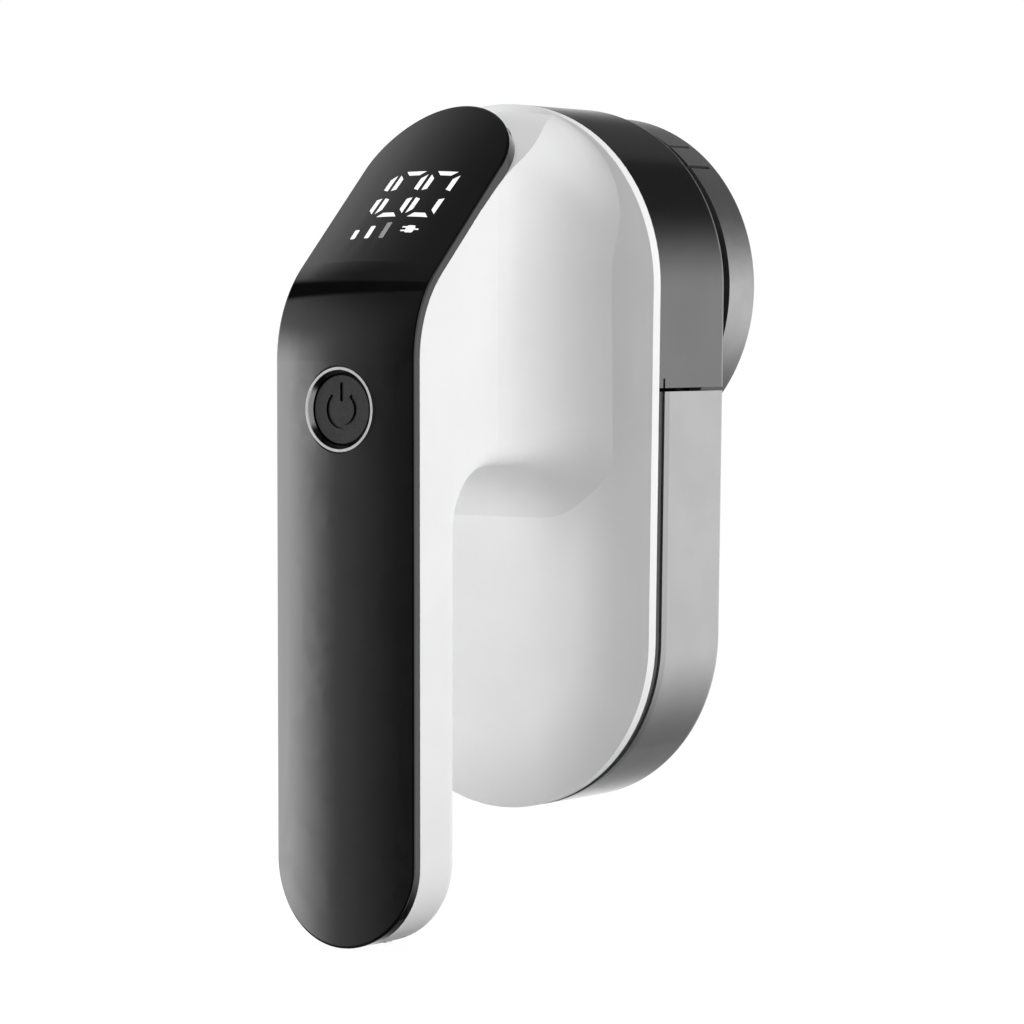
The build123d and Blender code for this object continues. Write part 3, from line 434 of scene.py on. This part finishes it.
# Area lamps: watts, azimuth, elevation.
LAMPS = [
    (1.7, -15, 65),     # front, high
    (2.0, -50, 10),     # left of the camera
    (0.9, -75, 15),     # left
    (1.4, 90, 0),       # right
    (2.2, 130, 20),     # right, behind
    (1.0, 180, 60),     # behind, high
]
LAMP_DISTANCE = 0.7
LAMP_SIZE = 0.35

FLOOR_RADIUS = 0.32
FLOOR_STEPS = 96
FLOOR_TONE = 0.6
FLOOR_GLOW = 1.12
FLOOR_GLOW_SHARE = 0.85         # the rest is the matt surface, which takes the shadow

CAMERA_DIRECTION = (35.72, 2.73)
CAMERA_DISTANCE = 0.74
CAMERA_AIM = Vector((4.5, 3.4, 0.1)) * MM       # from the middle of the object
CAMERA_LENS = 135.1             # millimetres, as is the sensor
CAMERA_SENSOR = 36


def direction(azimuth, elevation):
    """Unit vector that points from the object towards a direction in degrees."""
    azimuth, elevation = math.radians(azimuth), math.radians(elevation)
    return Vector((
        math.sin(azimuth) * math.cos(elevation),
        -math.cos(azimuth) * math.cos(elevation),
        math.sin(elevation),
    ))


def angle_band(tree, angle, *limits):
    """Band over an angle, with its four limits in degrees."""
    return band(tree, angle, *(math.radians(limit) for limit in limits))


def softbox(tree, azimuth, elevation, level, side_range, height_range):
    """Emission of one soft light in the world."""
    across = angle_band(tree, azimuth, *side_range)
    upward = angle_band(tree, elevation, *height_range)
    return math_node(tree, "MULTIPLY", math_node(tree, "MULTIPLY", across, upward), level)


def black_strip(tree, azimuth, elevation):
    """0 inside the leaning strip, 1 elsewhere."""
    lean = math_node(tree, "SUBTRACT", elevation, math_node(tree, "MULTIPLY", azimuth, STRIP_LEAN))
    low, high = STRIP_BAND
    start, end = STRIP_REACH
    soft = STRIP_SOFT
    across = angle_band(tree, lean, low - soft, low + soft, high - soft, high + soft)
    along = angle_band(tree, azimuth, start, start + soft, end - soft, end)
    inside = math_node(tree, "MULTIPLY", across, along)
    return math_node(tree, "SUBTRACT", 1.0, inside)


def build_world():
    """Soft lights left, right and behind, a dark front, and a white backdrop for the camera."""
    world = bpy.data.worlds.new("studio")
    bpy.context.scene.world = world
    world.use_nodes = True
    tree = world.node_tree
    tree.nodes.clear()
    coordinates = tree.nodes.new("ShaderNodeTexCoord")
    split = tree.nodes.new("ShaderNodeSeparateXYZ")
    link(tree, coordinates.outputs["Generated"], split.inputs[0])
    x, y, z = split.outputs
    azimuth = math_node(tree, "ARCTAN2", x, math_node(tree, "MULTIPLY", y, -1))
    elevation = math_node(tree, "ARCSINE", z)
    light = WORLD_FILL
    for level, side_range, height_range in LIGHTS:
        box = softbox(tree, azimuth, elevation, level, side_range, height_range)
        light = math_node(tree, "ADD", light, box)
    light = math_node(tree, "MULTIPLY", light, black_strip(tree, azimuth, elevation))
    lit = tree.nodes.new("ShaderNodeBackground")
    lit.inputs["Color"].default_value = (1, 1, 1, 1)
    link(tree, light, lit.inputs["Strength"])
    backdrop = tree.nodes.new("ShaderNodeBackground")
    backdrop.inputs["Color"].default_value = (1, 1, 1, 1)
    backdrop.inputs["Strength"].default_value = 1.0
    seen, _ = ray_kinds(tree)
    output = tree.nodes.new("ShaderNodeOutputWorld")
    link(tree, mix_shaders(tree, seen, lit.outputs[0], backdrop.outputs[0]), output.inputs["Surface"])


def build_lamps():
    """Soft lamps round the object; they light matt surfaces and stay out of the reflections."""
    middle = (cad_low + cad_high) / 2
    for index, (power, azimuth, elevation) in enumerate(LAMPS):
        away = direction(azimuth, elevation)
        data = bpy.data.lights.new(f"lamp_{index}", "AREA")
        data.size = LAMP_SIZE
        data.energy = power
        lamp = bpy.data.objects.new(f"lamp_{index}", data)
        lamp.location = middle + away * LAMP_DISTANCE
        lamp.rotation_euler = away.to_track_quat("Z", "Y").to_euler()
        lamp.visible_camera = False
        lamp.visible_glossy = False
        lamp.visible_transmission = False
        bpy.context.scene.collection.objects.link(lamp)


def build_floor():
    """Small pale round floor that looks white but for the shadow; reflections leave it out."""
    ring = []
    for step in range(FLOOR_STEPS):
        angle = 2 * math.pi * step / FLOOR_STEPS
        ring.append((FLOOR_RADIUS * math.cos(angle), FLOOR_RADIUS * math.sin(angle), 0))
    mesh = bpy.data.meshes.new("floor")
    mesh.from_pydata(ring, [], [list(range(FLOOR_STEPS))])
    floor = bpy.data.objects.new("floor", mesh)
    bpy.context.scene.collection.objects.link(floor)
    material = bpy.data.materials.new("pale_floor")
    material.use_nodes = True
    tree = material.node_tree
    tree.nodes.clear()
    diffuse = tree.nodes.new("ShaderNodeBsdfDiffuse")
    diffuse.inputs["Color"].default_value = (*grey(FLOOR_TONE), 1)
    glow = tree.nodes.new("ShaderNodeEmission")
    glow.inputs["Strength"].default_value = FLOOR_GLOW
    clear = tree.nodes.new("ShaderNodeBsdfTransparent")
    seen, glossy = ray_kinds(tree)
    share = math_node(tree, "MULTIPLY", seen, FLOOR_GLOW_SHARE)
    pale = mix_shaders(tree, share, diffuse.outputs[0], glow.outputs[0])
    output = tree.nodes.new("ShaderNodeOutputMaterial")
    link(tree, mix_shaders(tree, glossy, pale, clear.outputs[0]), output.inputs["Surface"])
    mesh.materials.append(material)


def build_camera():
    """Camera at the front right, slightly above the middle of the object."""
    target = (cad_low + cad_high) / 2 + CAMERA_AIM
    back = direction(*CAMERA_DIRECTION)
    data = bpy.data.cameras.new("camera")
    data.lens = CAMERA_LENS
    data.sensor_width = CAMERA_SENSOR
    camera = bpy.data.objects.new("camera", data)
    bpy.context.scene.collection.objects.link(camera)
    camera.location = target + back * CAMERA_DISTANCE
    camera.rotation_euler = (-back).to_track_quat("-Z", "Y").to_euler()
    bpy.context.scene.camera = camera


dress_cad_nodes()
build_world()
build_lamps()
build_floor()
build_camera()
bpy.context.scene.view_settings.view_transform = "Standard"
